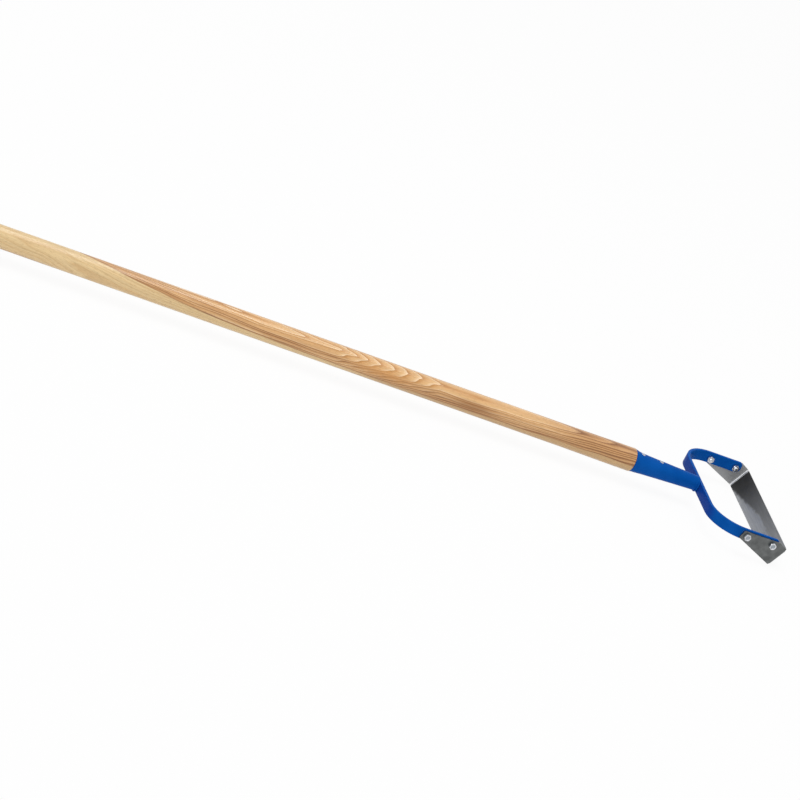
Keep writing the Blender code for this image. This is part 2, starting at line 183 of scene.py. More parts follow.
SAP_GREYS = (-440.0, -330.0)
BROWN_RIM = (7.6, 10.5)  # in mm from the pith
BROWN_NEAR_SOCKET = (-160.0, -60.0)
BROWN_TO_BUTT = (-560.0, -680.0)
STREAK_LENGTH, STREAK_WIDTH = 110.0, 5.0
FIBRE_LENGTH, FIBRE_WIDTH = 45.0, 0.8  # coarser than real fibres, which no render would show
PORE_LENGTH, PORE_WIDTH = 5.0, 0.35
STAINS = (  # middle and half size in mm, and colour
    ((-350.0, -13.5, 3.5), (55.0, 7.0, 7.0), "#D2934F"),
    ((-226.0, -13.8, 1.5), (42.0, 8.0, 8.0), "#94602F"),
)

ash = bpy.data.materials.new("lacquered_ash")
ash.use_nodes = True
tree, shader = ash.node_tree, ash.node_tree.nodes["Principled BSDF"]
coords = add_node(tree, "TexCoord").outputs["Object"]
pole = add_node(tree, "Mapping", {
    "Vector": coords, "Location": (-MOUTH_X / MM, 0, -AXIS_Z / MM), "Scale": (1 / MM,) * 3,
})
along = add_node(tree, "SeparateXYZ", {0: pole})

# The grain spirals. It comes round from behind the top, and swings back a little near the socket
started = add_node(tree, "Math", {0: along, 1: SPIRAL_START, 2: 40.0}, operation="SMOOTH_MAX")
spiral = add_node(tree, "Math", {
    0: started, 1: -1 / SPIRAL_REACH, 2: SPIRAL_PLACE / SPIRAL_REACH,
}, operation="MULTIPLY_ADD")
spiral = add_node(tree, "Math", {0: spiral}, operation="EXPONENT")
swing = add_node(tree, "MapRange", {
    "Value": along, "From Min": -400.0, "From Max": 0.0, "To Min": SWING[0], "To Max": SWING[1],
}, interpolation_type="SMOOTHSTEP")
turn = add_node(tree, "Math", {0: spiral, 1: SPIRAL_TURN, 2: swing}, operation="MULTIPLY_ADD")
grain = add_node(tree, "VectorRotate", {"Vector": pole, "Angle": turn}, rotation_type="X_AXIS")
across = add_node(tree, "VectorMath", {0: grain, 1: (0, 1, 1)}, operation="MULTIPLY")
from_pith = add_node(tree, "VectorMath", {0: across, 1: PITH}, operation="DISTANCE")

# Years that wander, and that run out of the surface between the two places of the loops
bends = add_node(tree, "Mapping", {
    "Vector": pole, "Scale": (1 / BEND_LENGTH, 1 / BEND_WIDTH, 1 / BEND_WIDTH),
})
bends = add_node(tree, "TexNoise", {"Vector": bends, "Scale": 1.0, "Detail": 0.0})
waves = add_node(tree, "Mapping", {
    "Vector": pole, "Scale": (1 / WAVE_LENGTH, 1 / WAVE_WIDTH, 1 / WAVE_WIDTH),
})
waves = add_node(tree, "TexNoise", {"Vector": waves, "Scale": 1.0, "Detail": 0.5})
grown = add_node(tree, "Math", {0: bends, 1: BEND_SIZE, 2: from_pith}, operation="MULTIPLY_ADD")
grown = add_node(tree, "Math", {0: waves, 1: WAVE_SIZE, 2: grown}, operation="MULTIPLY_ADD")
grown = add_node(tree, "Math", {0: along, 1: GRAIN_SLOPE, 2: grown}, operation="MULTIPLY_ADD")
good_years = add_node(tree, "Math", {0: grown, 1: GOOD_YEARS_PACE}, operation="MULTIPLY")
good_years = add_node(tree, "TexNoise", {
    "W": good_years, "Scale": 1.0, "Detail": 0.0,
}, noise_dimensions="1D")
grown = add_node(tree, "Math", {
    0: good_years, 1: GOOD_YEARS_SIZE, 2: grown,
}, operation="MULTIPLY_ADD")
climb = add_node(tree, "MapRange", {
    "Value": along, "From Min": LOOPS[0], "From Max": LOOPS[1], "To Max": LOOP_CLIMB,
})
grown = add_node(tree, "Math", {0: grown, 1: climb}, operation="ADD")
grown = add_node(tree, "Math", {0: grown, 1: RING_WIDTH}, operation="DIVIDE")
year = add_node(tree, "Math", {0: grown}, operation="FRACT")

# Sapwood, greyer towards the socket
sap = add_node(tree, "ValToRGB", {0: year}, stops=[
    (0.0, "#D7B480"), (0.15, "#DCBB88"), (0.4, "#E2C491"), (0.8, "#E6C997"), (0.95, "#DFC08D"),
])
worn = add_node(tree, "MapRange", {
    "Value": along, "From Min": SAP_GREYS[0], "From Max": SAP_GREYS[1], "To Max": 0.75,
}, interpolation_type="SMOOTHSTEP")
sap = add_node(tree, "Mix", {0: worn, 6: sap, 7: linear("#C49C6B")}, data_type="RGBA")

# Heartwood: tan round the loops, brown in streaks nearer its edge, and brown at both ends of the pole
tan = add_node(tree, "ValToRGB", {0: year}, stops=[
    (0.0, "#BA8248"), (0.16, "#CC9558"), (0.36, "#DDAC74"), (0.7, "#E4B881"), (0.92, "#F4D2A7"),
])
brown = add_node(tree, "ValToRGB", {0: year}, stops=[
    (0.0, "#7C4D27"), (0.22, "#986538"), (0.5, "#C3905C"), (0.8, "#D6A570"), (0.95, "#AE7A49"),
])
outer = add_node(tree, "MapRange", {
    "Value": from_pith, "From Min": BROWN_RIM[0], "From Max": BROWN_RIM[1],
}, interpolation_type="SMOOTHSTEP")
streaks = add_node(tree, "Mapping", {
    "Vector": grain, "Location": (9, 9, 9), "Scale": (1 / STREAK_LENGTH, 1 / STREAK_WIDTH, 1 / STREAK_WIDTH),
})
streaks = add_node(tree, "TexNoise", {"Vector": streaks, "Scale": 1.0})
streaks = add_node(tree, "MapRange", {
    "Value": streaks, "From Min": 0.36, "From Max": 0.62, "To Min": 0.2, "To Max": 1.0,
})
browned = add_node(tree, "Math", {0: outer, 1: streaks}, operation="MULTIPLY")
near_socket = add_node(tree, "MapRange", {
    "Value": along, "From Min": BROWN_NEAR_SOCKET[0], "From Max": BROWN_NEAR_SOCKET[1], "To Max": 0.95,
}, interpolation_type="SMOOTHSTEP")
browned = add_node(tree, "Math", {0: browned, 1: near_socket}, operation="MAXIMUM")
to_butt = add_node(tree, "MapRange", {
    "Value": along, "From Min": BROWN_TO_BUTT[0], "From Max": BROWN_TO_BUTT[1], "To Max": 0.5,
}, interpolation_type="SMOOTHSTEP")
browned = add_node(tree, "Math", {0: browned, 1: to_butt}, operation="MAXIMUM")
heart = add_node(tree, "Mix", {0: browned, 6: tan, 7: brown}, data_type="RGBA")

# Two patches where the sap stained the heartwood, one orange and one dark
for middle, reach, colour in STAINS:
    patch = add_node(tree, "Mapping", {
        "Vector": pole, "Location": tuple(-m / r for m, r in zip(middle, reach)),
        "Scale": tuple(1 / r for r in reach),
    })
    patch = add_node(tree, "TexGradient", {0: patch}, gradient_type="SPHERICAL").outputs["Fac"]
    stain = add_node(tree, "MapRange", {"Value": patch, "From Max": 0.7, "To Max": 0.6})
    heart = add_node(tree, "Mix", {0: stain, 6: heart, 7: linear(colour)}, data_type="RGBA")

# The heartwood ends at a wavy edge, just inside a dark rim
edge = add_node(tree, "Math", {0: waves, 1: 1.2, 2: from_pith}, operation="MULTIPLY_ADD")
is_sap = add_node(tree, "MapRange", {
    "Value": edge, "From Min": HEART_RADIUS + 0.4, "From Max": HEART_RADIUS + 1.1,
}, interpolation_type="SMOOTHSTEP")
rim = add_node(tree, "MapRange", {
    "Value": edge, "From Min": HEART_RADIUS - 0.4, "From Max": HEART_RADIUS + 0.5, "To Max": 0.55,
}, interpolation_type="SMOOTHSTEP")
heart = add_node(tree, "Mix", {0: rim, 6: heart, 7: linear("#8A582F")}, data_type="RGBA")
wood = add_node(tree, "Mix", {0: is_sap, 6: heart, 7: sap}, data_type="RGBA")

# Fibres shade the wood a little, and open pores are darker and sunk
fibres = add_node(tree, "Mapping", {
    "Vector": grain, "Location": (2, 2, 2), "Scale": (1 / FIBRE_LENGTH, 1 / FIBRE_WIDTH, 1 / FIBRE_WIDTH),
})
fibres = add_node(tree, "TexNoise", {"Vector": fibres, "Scale": 1.0, "Detail": 3.0})
shade = add_node(tree, "MapRange", {
    "Value": fibres, "From Min": 0.3, "From Max": 0.7, "To Min": 0.88, "To Max": 1.08,
})
shade = add_node(tree, "CombineColor", {0: shade, 1: shade, 2: shade})
wood = add_node(tree, "Mix", {0: 1.0, 6: wood, 7: shade}, data_type="RGBA", blend_type="MULTIPLY")
pores = add_node(tree, "Mapping", {
    "Vector": grain, "Location": (7, 7, 7), "Scale": (1 / PORE_LENGTH, 1 / PORE_WIDTH, 1 / PORE_WIDTH),
})
pores = add_node(tree, "TexNoise", {"Vector": pores, "Scale": 1.0, "Detail": 0.0})
pores = add_node(tree, "MapRange", {"Value": pores, "From Min": 0.62, "From Max": 0.72})
pored = add_node(tree, "Math", {0: pores, 1: 0.35}, operation="MULTIPLY")
wood = add_node(tree, "Mix", {0: pored, 6: wood, 7: linear("#8A6238")}, data_type="RGBA")
tree.links.new(wood.outputs[2], shader.inputs["Base Color"])
height = add_node(tree, "Math", {0: pores, 1: -0.6, 2: fibres}, operation="MULTIPLY_ADD")
bump = add_node(tree, "Bump", {"Height": height, "Strength": 0.12, "Distance": 0.1 * MM})
tree.links.new(bump.outputs[0], shader.inputs["Normal"])
shader.inputs["Roughness"].default_value = 0.5
shader.inputs["Specular IOR Level"].default_value = 0.2
shader.inputs["Coat Weight"].default_value = 0.65
shader.inputs["Coat Roughness"].default_value = 0.2

shoulder = -FIT_GAP
swell = []
for i in range(24):
    share = 0.5 - 0.5 * math.cos(math.pi * i / 24)
    swelled = POLE_RADIUS + (SHOULDER_RADIUS - POLE_RADIUS) * share
    swell.append((shoulder - SWELL_LENGTH * (1 - i / 24), swelled))
rings = [
    *round_corner((BUTT + BUTT_ROUND, POLE_RADIUS - BUTT_ROUND), BUTT_ROUND, -90, 0, 18),
    *swell,
    *round_corner((shoulder - SHOULDER_ROUND, SHOULDER_RADIUS - SHOULDER_ROUND), SHOULDER_ROUND, 0, 90, 6),
    (shoulder, NECK_RADIUS),
    *((x, NECK_RADIUS - NECK_TAPER * x) for x in (2.0, 4.0, 6.0, 8.0, DROP_REACH)),
    (TENON_LENGTH - TENON_CHAMFER, TENON_TIP_RADIUS),
    (TENON_LENGTH, TENON_TIP_RADIUS - TENON_CHAMFER),
]
handle = turned("ash_handle", rings, 128)
put(handle, (0, 0, 0), (0, math.pi / 2, 0))
bring_down(handle)
finish(handle, ash, "lacquered_ash", "handle", smooth=40)


# Socket
# Mild steel sheet, rolled into a cone with its seam underneath, its mouth flared round the handle
# and its open nose cut square. It is enamelled blue together with the stirrup.

SOCKET_LENGTH = (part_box("socket")[1].x - MOUTH_X) / MM
CONE_RADIUS = 12.95  # of the plain cone, carried on to the mouth
NOSE_RADIUS = 9.2
MOUTH_FLARE = 1.25
FLARE_REACH = 7.0
SOCKET_WALL = 1.6
LIP = 0.35
NOSE_ROUND = 0.6
SEAM_WIDTH = 1.4
SEAM_LENGTH = 58.0
SEAM_CUT = 28.0  # the saw's depth, down from inside the wall
SCREW_HOLE = 1.8  # radius
SCREW_HOLE_DEPTH = 14.0
COUNTERSINK = 3.02  # radius


def cone_radius(x):
    """Outer radius of the socket at a distance from its mouth: a cone with a lip that flares out."""
    cone = CONE_RADIUS + (NOSE_RADIUS - CONE_RADIUS) * x / SOCKET_LENGTH
    return cone + MOUTH_FLARE * math.exp(-x / FLARE_REACH)


def boolean(piece, tool, operation="DIFFERENCE"):
    """Cut a piece with a tool, join them or keep what they share. The tool is then removed."""
    take(piece)
    step = piece.modifiers.new(operation.lower(), "BOOLEAN")
    step.operation, step.object, step.solver = operation, tool, "EXACT"
    bpy.ops.object.modifier_apply(modifier=step.name)
    bpy.data.objects.remove(tool)


# Blue enamel: an alkyd paint sprayed on steel and stoved. It flows out to an even, satin coat with a
# faint orange peel. The faces towards the handle are painted purple, as a painted reflection.
PEEL = 1.6  # mm across one dimple of the coat
MOTTLE = 22.0

enamel = bpy.data.materials.new("blue_enamel")
enamel.use_nodes = True
tree, shader = enamel.node_tree, enamel.node_tree.nodes["Principled BSDF"]
coords = add_node(tree, "TexCoord").outputs
paint = add_node(tree, "Mapping", {"Vector": coords["Object"], "Scale": (1 / MM,) * 3})
clouds = add_node(tree, "TexNoise", {"Vector": paint, "Scale": 1 / MOTTLE})
blue = add_node(tree, "ValToRGB", {0: clouds}, stops=[(0.3, "#044D9E"), (0.7, "#0A55A8")])
facing = add_node(tree, "SeparateXYZ", {0: coords["Normal"]})
# Painted reflection: faces turned towards the handle are tinted purple.
painted_reflection_rearward = add_node(tree, "MapRange", {
    "Value": facing, "From Min": -0.85, "From Max": -0.99, "To Max": 0.8,
}, interpolation_type="SMOOTHSTEP")
blue = add_node(tree, "Mix", {0: painted_reflection_rearward, 6: blue, 7: linear("#10368C")}, data_type="RGBA")
tree.links.new(blue.outputs[2], shader.inputs["Base Color"])
dimples = add_node(tree, "TexNoise", {"Vector": paint, "Scale": 1 / PEEL})
bump = add_node(tree, "Bump", {"Height": dimples, "Strength": 0.08, "Distance": 0.1 * MM})
tree.links.new(bump.outputs[0], shader.inputs["Normal"])
shader.inputs["Roughness"].default_value = 0.38
shader.inputs["Specular IOR Level"].default_value = 0.025

nose = SOCKET_LENGTH - NOSE_ROUND
outside = [nose * (i / 40) ** 1.3 for i in range(1, 40)]  # closer together where the cone flares
rings = [
    *round_corner((LIP, cone_radius(0) - LIP), LIP, -90, 0, 4),
    *((x, cone_radius(x)) for x in outside if x > LIP),
    *round_corner((nose, cone_radius(nose) - NOSE_ROUND), NOSE_ROUND, 0, 90, 4),
]
socket = turned("rolled_socket", rings, 96)
put(socket, (0, 0, 0), (0, math.pi / 2, 0))
inside = [SOCKET_LENGTH * (i / 24) ** 1.3 for i in range(25)]
bore = turned("bore", [
    (-1.0, cone_radius(0) - SOCKET_WALL),
    *((x, cone_radius(x) - SOCKET_WALL) for x in inside),
    (SOCKET_LENGTH + 1.0, NOSE_RADIUS - SOCKET_WALL),
], 96)
put(bore, (0, 0, 0), (0, math.pi / 2, 0))
boolean(socket, bore)
bring_down(socket)
bpy.ops.object.select_all(action="DESELECT")
bpy.ops.mesh.primitive_cube_add(size=1.0)
slit = bpy.context.object
slit.scale = ((SEAM_LENGTH + SOCKET_WALL) * MM, SEAM_WIDTH * MM, SEAM_CUT * MM)
put(slit, ((SEAM_LENGTH - SOCKET_WALL) / 2, 0, -SEAM_CUT / 2 - SOCKET_WALL))
boolean(socket, slit)

screw_tops = []
for number in (1, 2):
    low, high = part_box(f"socket_screw_{number}")
    screw_tops.append(Vector(((low.x + high.x) / 2 - MOUTH_X, 0, high.z - AXIS_Z)) / MM)
    drill_bit = turned("countersink", [
        (-SCREW_HOLE_DEPTH, SCREW_HOLE), (SCREW_HOLE - COUNTERSINK - 0.1, SCREW_HOLE),
        (-0.1, COUNTERSINK), (4.0, COUNTERSINK),
    ], 48)
    put(drill_bit, screw_tops[-1])
    boolean(socket, drill_bit)
finish(socket, enamel, "blue_enamel", "socket", smooth=35)


# Socket screws
# Two zinc-plated countersunk screws, driven through the top of the socket into the tenon. They keep
# the socket from turning or pulling off. Each has a cross recess, and its head lies flush.

HEAD_RADIUS = 2.6
HEAD_RIM = 0.1
SHANK_RADIUS = 1.5
SCREW_LENGTH = 14.0
SCREW_POINT = 1.5
RECESS_LENGTH = 3.2
RECESS_WIDTH = 0.9
RECESS_DEPTH = 0.6

# Bright zinc plate: electroplated steel, passivated clear. It is a bluish white metal with a fine
# grain of crystals, and it reflects softly.
CRYSTALS = 0.5  # mm, coarser than real ones
CLOUDS = 3.0  # mm
HEAD_STARTS = (3.85, 3.55)  # a soft step, in mm below a bolt's top
RIM_ENDS = (0.25, 0.55)

bolt_top_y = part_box("bolt_left_1")[1].y / MM

zinc = bpy.data.materials.new("zinc_plated_steel")
zinc.use_nodes = True
tree, shader = zinc.node_tree, zinc.node_tree.nodes["Principled BSDF"]
coords = add_node(tree, "TexCoord").outputs["Object"]
plate = add_node(tree, "Mapping", {"Vector": coords, "Scale": (1 / MM,) * 3})
crystals = add_node(tree, "TexNoise", {"Vector": plate, "Scale": 1 / CRYSTALS, "Detail": 3.0})
clouds = add_node(tree, "TexNoise", {"Vector": plate, "Scale": 1 / CLOUDS})
colour = add_node(tree, "ValToRGB", {0: clouds}, stops=[(0.3, "#AEB1B8"), (0.7, "#DADBDE")])
rough = add_node(tree, "MapRange", {
    "Value": crystals, "From Min": 0.3, "From Max": 0.7, "To Min": 0.2, "To Max": 0.34,
})

# The bolts' dishes and flanks are rougher than their rims, and darker with painted shade
sideways = add_node(tree, "SeparateXYZ", {0: plate}).outputs["Y"]
sideways = add_node(tree, "Math", {0: sideways}, operation="ABSOLUTE")
sunk = add_node(tree, "Math", {0: bolt_top_y, 1: sideways}, operation="SUBTRACT")
on_head = add_node(tree, "MapRange", {"Value": sunk, "From Min": HEAD_STARTS[0], "From Max": HEAD_STARTS[1]})
below_rim = add_node(tree, "MapRange", {"Value": sunk, "From Min": RIM_ENDS[0], "From Max": RIM_ENDS[1]})
dull = add_node(tree, "Math", {0: on_head, 1: below_rim}, operation="MULTIPLY")
# Painted shade: the dish and the flanks are coloured a darker grey.
colour = add_node(tree, "Mix", {0: dull, 6: colour, 7: linear("#9AA1A8")}, data_type="RGBA")
tree.links.new(colour.outputs[2], shader.inputs["Base Color"])
rough = add_node(tree, "Math", {0: dull, 1: 0.15, 2: rough}, operation="MULTIPLY_ADD")
tree.links.new(rough.outputs[0], shader.inputs["Roughness"])
bump = add_node(tree, "Bump", {"Height": crystals, "Strength": 0.1, "Distance": 0.02 * MM})
tree.links.new(bump.outputs[0], shader.inputs["Normal"])
shader.inputs["Metallic"].default_value = 1.0

for number, top in enumerate(screw_tops, 1):
    screw = turned(f"countersunk_screw_{number}", [
        (-SCREW_LENGTH, 0.1), (SCREW_POINT - SCREW_LENGTH, SHANK_RADIUS),
        (SHANK_RADIUS - HEAD_RADIUS - HEAD_RIM, SHANK_RADIUS),
        (-HEAD_RIM, HEAD_RADIUS), (0, HEAD_RADIUS - 0.05),
    ], 48)
    put(screw, top)
    for quarter in (0, math.pi / 2):
        bpy.ops.object.select_all(action="DESELECT")
        bpy.ops.mesh.primitive_cube_add(size=1.0)
        punch = bpy.context.object
        punch.scale = (RECESS_LENGTH * MM, RECESS_WIDTH * MM, 2 * RECESS_DEPTH * MM)
        put(punch, top, (0, 0, math.radians(10 + 35 * number) + quarter))
        boolean(screw, punch)
    finish(screw, zinc, "zinc_plate", f"socket_screw_{number}", smooth=25)


# Stirrup
# One length of hot-rolled flat bar on edge, bent round a former at two corners into a U, with the
# ends of its arms rounded and two holes through each. It is enamelled with the socket.

BAR_THICKNESS = 4.0
BAR_WIDTH = 14.5
BAR_EDGE_ROUND = 0.7
ARM_TOP_ROUND = 4.0
ARM_LOW_ROUND = 6.5
BEND_RADIUS = 38.6  # inner face
BOLT_HOLE = 2.8

low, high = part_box("stirrup")
bar_z = ((low.z + high.z) / 2 - AXIS_Z) / MM
back_x = (low.x - MOUTH_X) / MM
arm_end_x = (high.x - MOUTH_X) / MM
arm_y = high.y / MM
bend_x = back_x + BAR_THICKNESS + BEND_RADIUS
bend_y = arm_y - BAR_THICKNESS - BEND_RADIUS
bolt_xs = []
for number in (1, 2):
    low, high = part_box(f"bolt_left_{number}")
    bolt_xs.append(((low.x + high.x) / 2 - MOUTH_X) / MM)
    bolt_z = ((low.z + high.z) / 2 - AXIS_Z) / MM


def spot(x, y, z):
    """The world place of a point in millimetres from the middle of the socket's mouth."""
    return Vector((MOUTH_X, 0, AXIS_Z)) + Vector((x, y, z)) * MM


def select(test, kind="VERT"):
    """Select the vertices, edges or faces whose every corner passes the test, in edit mode."""
    bpy.ops.mesh.select_mode(type=kind)
    bpy.ops.mesh.select_all(action="DESELECT")
    mesh = bmesh.from_edit_mesh(bpy.context.object.data)
    origin = spot(0, 0, 0)
    parts = {"VERT": mesh.verts, "EDGE": mesh.edges, "FACE": mesh.faces}[kind]
    for part in parts:
        corners = [part] if kind == "VERT" else part.verts
        part.select_set(all(test(*((corner.co - origin) / MM)) for corner in corners))
    mesh.select_flush_mode()
    bmesh.update_edit_mesh(bpy.context.object.data)


bpy.ops.object.select_all(action="DESELECT")
bpy.ops.mesh.primitive_plane_add(size=1.0, rotation=(0, math.pi / 2, 0))
stirrup = bpy.context.object
stirrup.name = "bent_stirrup"
stirrup.scale = (BAR_WIDTH * MM, BAR_THICKNESS * MM, 1.0)
put(stirrup, (arm_end_x, BAR_THICKNESS / 2 - arm_y, bar_z), (0, math.pi / 2, 0))
bpy.ops.object.mode_set(mode="EDIT")
straights = ((bend_x - arm_end_x, 0), (0, 2 * bend_y), (arm_end_x - bend_x, 0))
for number, (dx, dy) in enumerate(straights):
    bpy.ops.mesh.extrude_region_move(TRANSFORM_OT_translate={"value": (dx * MM, dy * MM, 0)})
    if number < 2:
        bpy.ops.mesh.spin(
            steps=28, angle=math.pi / 2, axis=(0, 0, 1),
            center=spot(bend_x, (-bend_y, bend_y)[number], bar_z),
        )
for side in (-1, 1):
    for up, radius in ((1, ARM_TOP_ROUND), (-1, ARM_LOW_ROUND)):
        select(lambda x, y, z: x > arm_end_x - 0.1 and y * side > 0 and (z - bar_z) * up > 0, "EDGE")
        bpy.ops.mesh.bevel(offset=radius * MM, segments=10, affect="EDGES")
bpy.ops.mesh.select_all(action="SELECT")
bpy.ops.mesh.normals_make_consistent(inside=False)
bpy.ops.object.mode_set(mode="OBJECT")


def ease_edges(piece, width, segments=3, angle=40.0):
    """Round a piece's sharp edges over with a bevel."""
    take(piece)
    step = piece.modifiers.new("eased edges", "BEVEL")
    step.width, step.segments, step.limit_method = width * MM, segments, "ANGLE"
    step.angle_limit = math.radians(angle)
    bpy.ops.object.modifier_apply(modifier=step.name)


def drill(piece, radius, length, y):
    """Drill the holes of both bolts on both sides."""
    for side in (-1, 1):
        for x in bolt_xs:
            bit = turned("bit", [(-length / 2, radius), (length / 2, radius)], 48)
            put(bit, (x, side * y, bolt_z), (math.pi / 2, 0, 0))
            boolean(piece, bit)


ease_edges(stirrup, BAR_EDGE_ROUND)
drill(stirrup, BOLT_HOLE, 12, arm_y)
finish(stirrup, enamel, "blue_enamel", "stirrup", smooth=35)


# Weld
# One bead of MIG weld laid round the socket's nose onto the back of the bar, and painted over. Each
# pulse of the torch left a ripple, and the bead stops where the nose stands above the bar.

BEAD_RADIUS = 1.0
BEAD_OPEN = 116.0  # degrees
BEAD_STAND = 0.35  # of its middle, out from the nose and the gap round it
BEAD_STEPS = 96
END_STEPS = 5  # over which it grows from an end
END_SIZE = 0.55  # share of its radius at both ends
UNDER_LOSS = 0.25  # share that it lacks underneath
RIPPLES = 24
RIPPLE_SIZE = 0.07

root = cone_radius(nose) + FIT_GAP + BEAD_STAND
bead_x = SOCKET_LENGTH - BEAD_RADIUS
first = math.radians(90 + BEAD_OPEN / 2)
step_angle = math.radians(360 - BEAD_OPEN) / BEAD_STEPS


def bead_size(i):
    """Radius of the bead at a step: thin at both ends and underneath, fuller at each ripple."""
    grown = min(min(i, BEAD_STEPS - i) / END_STEPS, 1.0)
    whole = END_SIZE + (1 - END_SIZE) * grown
    under = max(-math.sin(first + step_angle * i), 0) ** 4
    ripple = math.sin(2 * math.pi * RIPPLES * i / BEAD_STEPS)
    return BEAD_RADIUS * whole * (1 - UNDER_LOSS * under) * (1 + RIPPLE_SIZE * ripple)


bpy.ops.object.select_all(action="DESELECT")
bpy.ops.mesh.primitive_circle_add(vertices=16, radius=bead_size(0) * MM, fill_type="NGON")
weld = bpy.context.object
weld.name = "nose_weld"
start = (bead_x, root * math.cos(first), root * math.sin(first) - SOCKET_DROP)
put(weld, start, (first, 0, 0))
bpy.ops.object.mode_set(mode="EDIT")
for i in range(1, BEAD_STEPS + 1):
    bpy.ops.mesh.spin(steps=1, angle=-step_angle, axis=(1, 0, 0), center=spot(0, 0, -SOCKET_DROP))
    mesh = bmesh.from_edit_mesh(weld.data)
    ring = [vert.co for vert in mesh.verts if vert.select]
    centre = sum(ring, Vector()) / len(ring)
    scale = bead_size(i) / bead_size(i - 1)
    bpy.ops.transform.resize(value=(scale, scale, scale), center_override=centre)
bpy.ops.mesh.select_all(action="SELECT")
bpy.ops.mesh.normals_make_consistent(inside=False)
bpy.ops.object.mode_set(mode="OBJECT")
finish(weld, enamel, "blue_enamel", "weld_bead", smooth=60)


# Blade
# One strip of spring steel, folded square at both ends so that its ears lie along the arms. It leans
# forward, its two long edges are ground to a bevel on the front, and the ears are drilled.

BLADE_THICKNESS = 2.0
BLADE_WIDTH = 29.6
BLADE_LEAN = math.radians(25.5)
HEEL = (arm_end_x - 0.5, -28.8)  # x and z of its lower rear edge
FOLD_RADIUS = 2.2
GROUND_WIDTH = 3.2
GROUND_DEPTH = 1.5
BLADE_EDGE_ROUND = 0.15
EAR_LOW_TAIL = 9.0  # behind the rear bolt
EAR_TOP_TAIL = 6.0
EAR_LOW = 4.5  # below the bolts
EAR_TOP = 6.3  # above the bolts
EAR_TOP_ROUND = 4.0
EAR_LOW_ROUND = 1.1
CREST_SHARE = 0.15  # of the lower edge's way to the tail, where the crest stands over it

ear_y = arm_y + FIT_GAP
fold_y = ear_y - FOLD_RADIUS
lean_up = Vector((math.sin(BLADE_LEAN), 0, math.cos(BLADE_LEAN)))
forward = Vector((math.cos(BLADE_LEAN), 0, -math.sin(BLADE_LEAN)))


def on_blade(depth, across, y):
    """A point of the blade, in front of its rear face and up from its lower edge."""
    return Vector((HEEL[0], y, HEEL[1])) + forward * depth + lean_up * across


# Spring steel strip, hardened and tempered. The inner side is linished bright along its length, and a
# dark reflection is painted on it towards the left fold and the upper edge. The outer side keeps
# its dull rolled grey.
SCRATCH = 0.6  # mm across a grinding line, coarser than real ones
SCRATCH_LENGTH = 25.0
STEEL_CLOUDS = 9.0  # mm
DARK_REFLECTION_REACH = 90.0  # mm to the left
DARK_REFLECTION_EDGE = (16.0, -1.5)  # height of its lower edge, at the middle and at that reach
DARK_REFLECTION_BLUR = (1.0, 5.5)
DARK_REFLECTION_DEEPENS = (-60.0, 70.0)  # from palest to darkest, in mm to the left
DARK_REFLECTION_PALEST = 0.35
FLAT_STARTS = (0.25, 0.85)  # mm in from the fold
EAR_STARTS = (0.85, 0.15)  # mm in from the ear's inner face
INSIDE_LOOP = (-20.0, 0.0, 10.0)  # from the heel, in mm: the inner side faces this

steel = bpy.data.materials.new("ground_spring_steel")
steel.use_nodes = True
tree, shader = steel.node_tree, steel.node_tree.nodes["Principled BSDF"]
coords = add_node(tree, "TexCoord").outputs
strip = add_node(tree, "Mapping", {
    "Vector": coords["Object"], "Scale": (1 / MM,) * 3,
    "Location": (-(MOUTH_X / MM + HEEL[0]), 0, -(AXIS_Z / MM + HEEL[1])),
})
lines = add_node(tree, "Mapping", {
    "Vector": strip, "Scale": (1 / SCRATCH, 1 / SCRATCH_LENGTH, 1 / SCRATCH),
})
lines = add_node(tree, "TexNoise", {"Vector": lines, "Scale": 1.0, "Detail": 4.0})
clouds = add_node(tree, "TexNoise", {"Vector": strip, "Scale": 1 / STEEL_CLOUDS, "Detail": 4.0})

bright = add_node(tree, "ValToRGB", {0: lines}, stops=[(0.35, "#929497"), (0.65, "#A9ABAD")])
rolled = add_node(tree, "ValToRGB", {0: clouds}, stops=[(0.35, "#5B5D5D"), (0.65, "#6F7171")])

# How far a point of the blade lies inside the painted reflection, whose lower edge falls towards the left
# fold
height = add_node(tree, "VectorMath", {0: strip, 1: tuple(lean_up)}, operation="DOT_PRODUCT")
leftward = add_node(tree, "SeparateXYZ", {0: strip}).outputs["Y"]
dark_reflection_edge = add_node(tree, "MapRange", {
    "Value": leftward, "From Max": DARK_REFLECTION_REACH, "To Min": DARK_REFLECTION_EDGE[0], "To Max": DARK_REFLECTION_EDGE[1],
})
inside = add_node(tree, "Math", {0: height, 1: dark_reflection_edge}, operation="SUBTRACT")
inside = add_node(tree, "Math", {0: clouds, 1: 5.0, 2: inside}, operation="MULTIPLY_ADD")
painted_dark_reflection = add_node(tree, "MapRange", {
    "Value": inside, "From Min": DARK_REFLECTION_BLUR[0], "From Max": DARK_REFLECTION_BLUR[1],
}, interpolation_type="SMOOTHSTEP")
dark_reflection_depth = add_node(tree, "MapRange", {
    "Value": leftward, "From Min": DARK_REFLECTION_DEEPENS[0], "From Max": DARK_REFLECTION_DEEPENS[1], "To Min": DARK_REFLECTION_PALEST,
})
painted_dark_reflection = add_node(tree, "Math", {0: painted_dark_reflection, 1: dark_reflection_depth}, operation="MULTIPLY")
sideways = add_node(tree, "Math", {0: leftward}, operation="ABSOLUTE")
unfolded = add_node(tree, "MapRange", {
    "Value": sideways, "From Min": fold_y - FLAT_STARTS[0], "From Max": fold_y - FLAT_STARTS[1],
})
painted_dark_reflection = add_node(tree, "Math", {0: painted_dark_reflection, 1: unfolded}, operation="MULTIPLY")
# The painted dark reflection turns the inner side dark grey here, and the roughness also rises under it.
inner = add_node(tree, "Mix", {0: painted_dark_reflection, 6: bright, 7: linear("#474747")}, data_type="RGBA")

